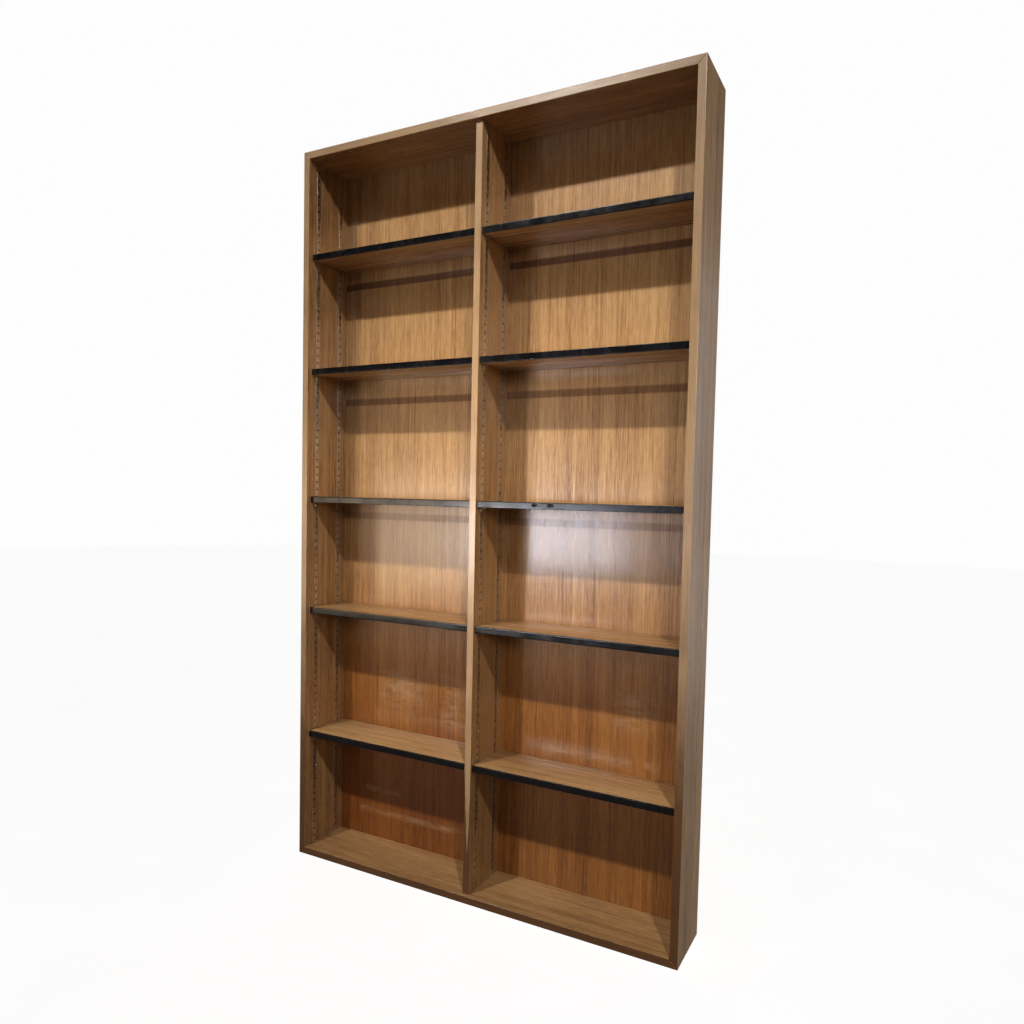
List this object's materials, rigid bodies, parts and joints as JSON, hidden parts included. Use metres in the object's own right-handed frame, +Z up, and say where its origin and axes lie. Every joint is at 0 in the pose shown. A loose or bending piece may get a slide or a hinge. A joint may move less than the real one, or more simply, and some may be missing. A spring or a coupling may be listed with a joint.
{
  "type": "bookcase with adjustable shelves",
  "caption": "Tall, shallow open bookcase split into two bays, with black-edged shelves that hook at any height into slotted metal standards.",
  "frame": {"origin": "At floor level under the middle of the bookcase: the centre of the bounding box's bottom face.", "axes": "+X to the viewer's right along the width, -Y out of the open front, +Z up."},
  "size_m": [1.34, 0.19, 2.35],
  "materials": {
    "walnut_veneer": "satin lacquered veneer",
    "walnut_back_veneer": "satin lacquered veneer on plywood",
    "beech_spline": "planed, unfinished",
    "black_lacquered_edge": "black lacquer, semi-gloss",
    "plated_steel": "dull plated",
    "clip_steel": "plated"
  },
  "bodies": {
    "carcass": {"left_side": "walnut_veneer", "right_side": "walnut_veneer", "top_panel": "walnut_veneer", "bottom_panel": "walnut_veneer", "centre_divider": "walnut_veneer", "back_panel": "walnut_back_veneer", "bottom_left_corner_spline": "beech_spline", "top_left_corner_spline": "beech_spline", "bottom_right_corner_spline": "beech_spline", "top_right_corner_spline": "beech_spline", "standard_left_side_front": "plated_steel", "standard_left_side_rear": "plated_steel", "standard_divider_left_front": "plated_steel", "standard_divider_left_rear": "plated_steel", "standard_divider_right_front": "plated_steel", "standard_divider_right_rear": "plated_steel", "standard_right_side_front": "plated_steel", "standard_right_side_rear": "plated_steel"},
    "left_shelf_1": {"shelf_left_1": "walnut_veneer", "shelf_left_1_front_edge": "black_lacquered_edge", "shelf_left_1_clip_left": "clip_steel", "shelf_left_1_clip_right": "clip_steel"},
    "left_shelf_2": {"shelf_left_2": "walnut_veneer", "shelf_left_2_front_edge": "black_lacquered_edge", "shelf_left_2_clip_left": "clip_steel", "shelf_left_2_clip_right": "clip_steel"},
    "left_shelf_3": {"shelf_left_3": "walnut_veneer", "shelf_left_3_front_edge": "black_lacquered_edge", "shelf_left_3_clip_left": "clip_steel", "shelf_left_3_clip_right": "clip_steel"},
    "left_shelf_4": {"shelf_left_4": "walnut_veneer", "shelf_left_4_front_edge": "black_lacquered_edge", "shelf_left_4_clip_left": "clip_steel", "shelf_left_4_clip_right": "clip_steel"},
    "left_shelf_5": {"shelf_left_5": "walnut_veneer", "shelf_left_5_front_edge": "black_lacquered_edge", "shelf_left_5_clip_left": "clip_steel", "shelf_left_5_clip_right": "clip_steel"},
    "right_shelf_1": {"shelf_right_1": "walnut_veneer", "shelf_right_1_front_edge": "black_lacquered_edge", "shelf_right_1_clip_left": "clip_steel", "shelf_right_1_clip_right": "clip_steel"},
    "right_shelf_2": {"shelf_right_2": "walnut_veneer", "shelf_right_2_front_edge": "black_lacquered_edge", "shelf_right_2_clip_left": "clip_steel", "shelf_right_2_clip_right": "clip_steel"},
    "right_shelf_3": {"shelf_right_3": "walnut_veneer", "shelf_right_3_front_edge": "black_lacquered_edge", "shelf_right_3_clip_left": "clip_steel", "shelf_right_3_clip_right": "clip_steel"},
    "right_shelf_4": {"shelf_right_4": "walnut_veneer", "shelf_right_4_front_edge": "black_lacquered_edge", "shelf_right_4_clip_left": "clip_steel", "shelf_right_4_clip_right": "clip_steel"},
    "right_shelf_5": {"shelf_right_5": "walnut_veneer", "shelf_right_5_front_edge": "black_lacquered_edge", "shelf_right_5_clip_left": "clip_steel", "shelf_right_5_clip_right": "clip_steel"}
  },
  "joints": [
    {"name": "left_shelf_1_height", "type": "slide", "parent": "carcass", "child": "left_shelf_1", "axis": [0, 0, 1], "range_m": [-0.3, 0.15]},
    {"name": "left_shelf_2_height", "type": "slide", "parent": "carcass", "child": "left_shelf_2", "axis": [0, 0, 1], "range_m": [-0.3, 0.3]},
    {"name": "left_shelf_3_height", "type": "slide", "parent": "carcass", "child": "left_shelf_3", "axis": [0, 0, 1], "range_m": [-0.3, 0.3]},
    {"name": "left_shelf_4_height", "type": "slide", "parent": "carcass", "child": "left_shelf_4", "axis": [0, 0, 1], "range_m": [-0.3, 0.3]},
    {"name": "left_shelf_5_height", "type": "slide", "parent": "carcass", "child": "left_shelf_5", "axis": [0, 0, 1], "range_m": [-0.3, 0.3]},
    {"name": "right_shelf_1_height", "type": "slide", "parent": "carcass", "child": "right_shelf_1", "axis": [0, 0, 1], "range_m": [-0.3, 0.15]},
    {"name": "right_shelf_2_height", "type": "slide", "parent": "carcass", "child": "right_shelf_2", "axis": [0, 0, 1], "range_m": [-0.3, 0.3]},
    {"name": "right_shelf_3_height", "type": "slide", "parent": "carcass", "child": "right_shelf_3", "axis": [0, 0, 1], "range_m": [-0.3, 0.3]},
    {"name": "right_shelf_4_height", "type": "slide", "parent": "carcass", "child": "right_shelf_4", "axis": [0, 0, 1], "range_m": [-0.3, 0.3]},
    {"name": "right_shelf_5_height", "type": "slide", "parent": "carcass", "child": "right_shelf_5", "axis": [0, 0, 1], "range_m": [-0.3, 0.3]}
  ]
}
